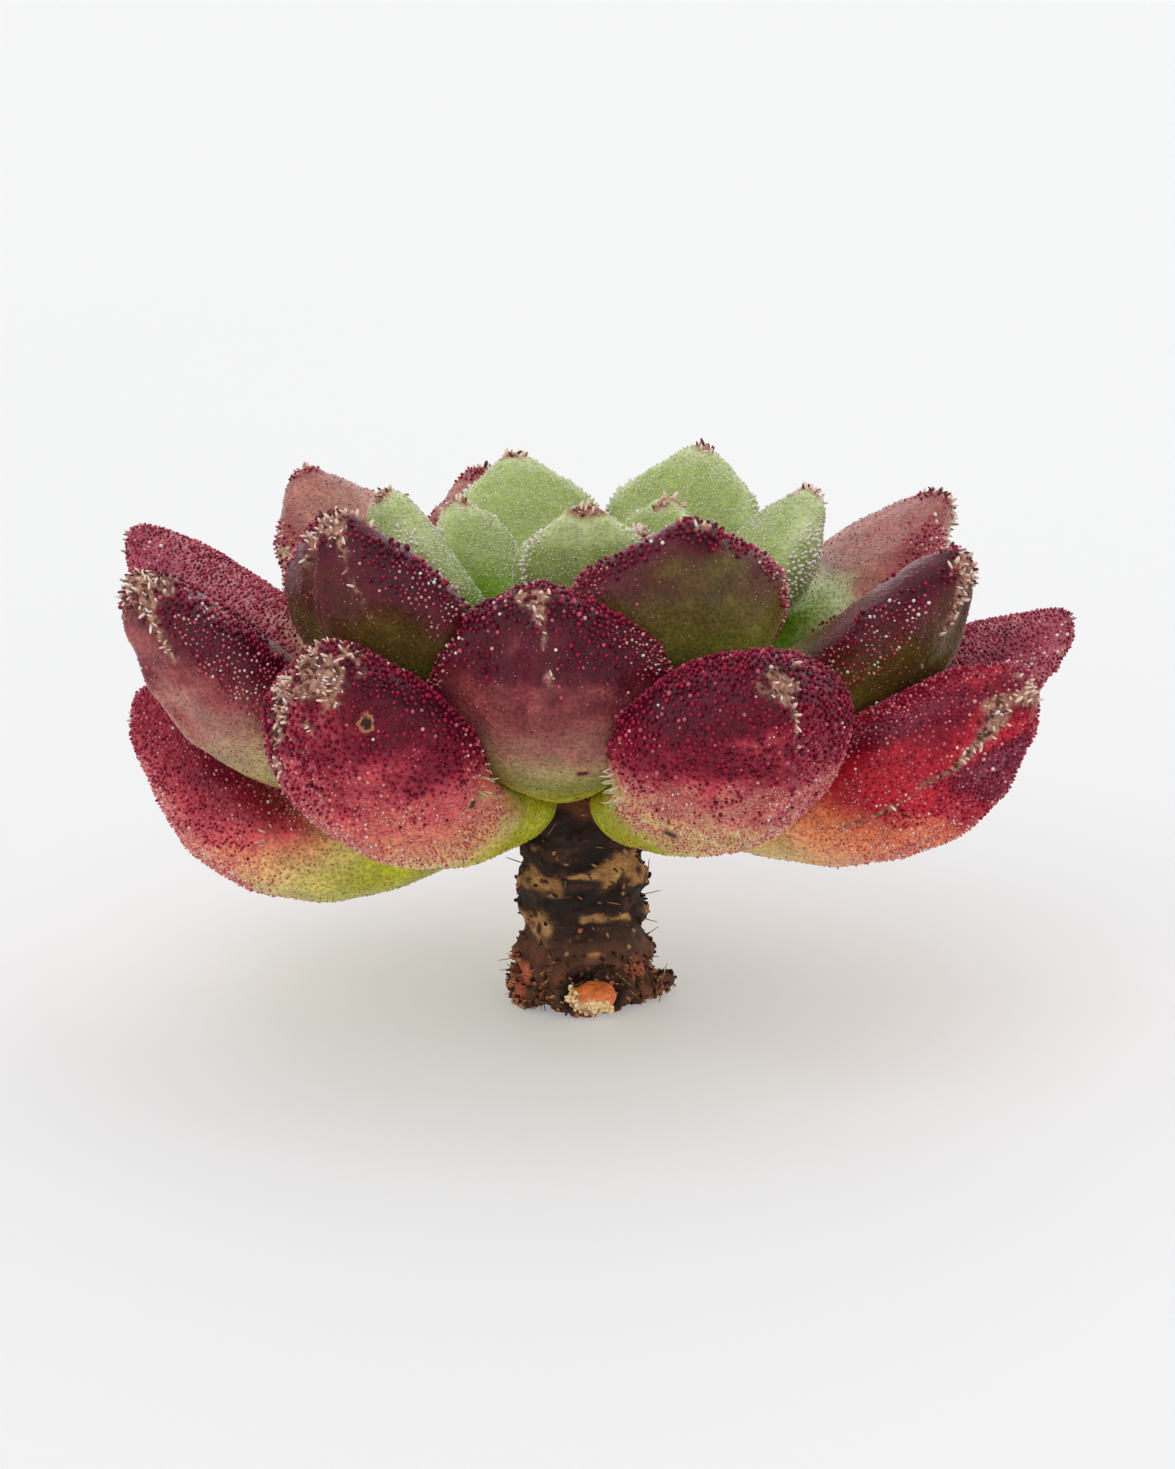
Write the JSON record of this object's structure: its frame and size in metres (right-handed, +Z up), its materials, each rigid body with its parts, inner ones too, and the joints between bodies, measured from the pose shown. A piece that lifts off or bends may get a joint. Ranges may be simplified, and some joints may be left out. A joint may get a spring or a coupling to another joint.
{
  "type": "succulent rosette cutting",
  "caption": "Small unpotted succulent cutting: a rosette of fat, pointed, red-tipped leaves with a green heart, on a short torn woody stem.",
  "frame": {"origin": "middle of the footprint's bounding box, on the surface that the cut stem stands on", "axes": "+Z up along the stem, -Y towards the side that faces the viewer, +X to that viewer's right"},
  "size_m": [0.0508, 0.0454, 0.0295],
  "materials": {
    "outer_leaf": "crimson succulent leaf skin covered in glassy papillae, yellow-green at the base, satin",
    "middle_leaf": "maroon and olive succulent leaf skin with white and crimson papillae, satin",
    "inner_leaf": "pale green translucent leaf skin with clear papillae and a brown tip, satin",
    "bark": "rough, near-black dry bark with cream leaf scars, matt",
    "stub": "orange-red torn pith with cream flakes, matt"
  },
  "bodies": {
    "root": {"stem": "bark", "root_stub": "stub", "leaf_01": "outer_leaf", "leaf_02": "outer_leaf", "leaf_03": "outer_leaf", "leaf_04": "outer_leaf", "leaf_05": "outer_leaf", "leaf_06": "outer_leaf", "leaf_07": "outer_leaf", "leaf_08": "outer_leaf", "leaf_09": "outer_leaf", "leaf_10": "outer_leaf", "leaf_11": "outer_leaf", "leaf_12": "middle_leaf", "leaf_13": "middle_leaf", "leaf_14": "middle_leaf", "leaf_15": "middle_leaf", "leaf_16": "middle_leaf", "leaf_17": "middle_leaf", "leaf_18": "middle_leaf", "leaf_19": "middle_leaf", "leaf_20": "inner_leaf", "leaf_21": "inner_leaf", "leaf_22": "inner_leaf", "leaf_23": "inner_leaf", "leaf_24": "inner_leaf", "leaf_25": "inner_leaf", "leaf_26": "inner_leaf", "leaf_27": "inner_leaf", "leaf_28": "inner_leaf", "leaf_29": "inner_leaf", "leaf_30": "inner_leaf"}
  },
  "joints": []
}
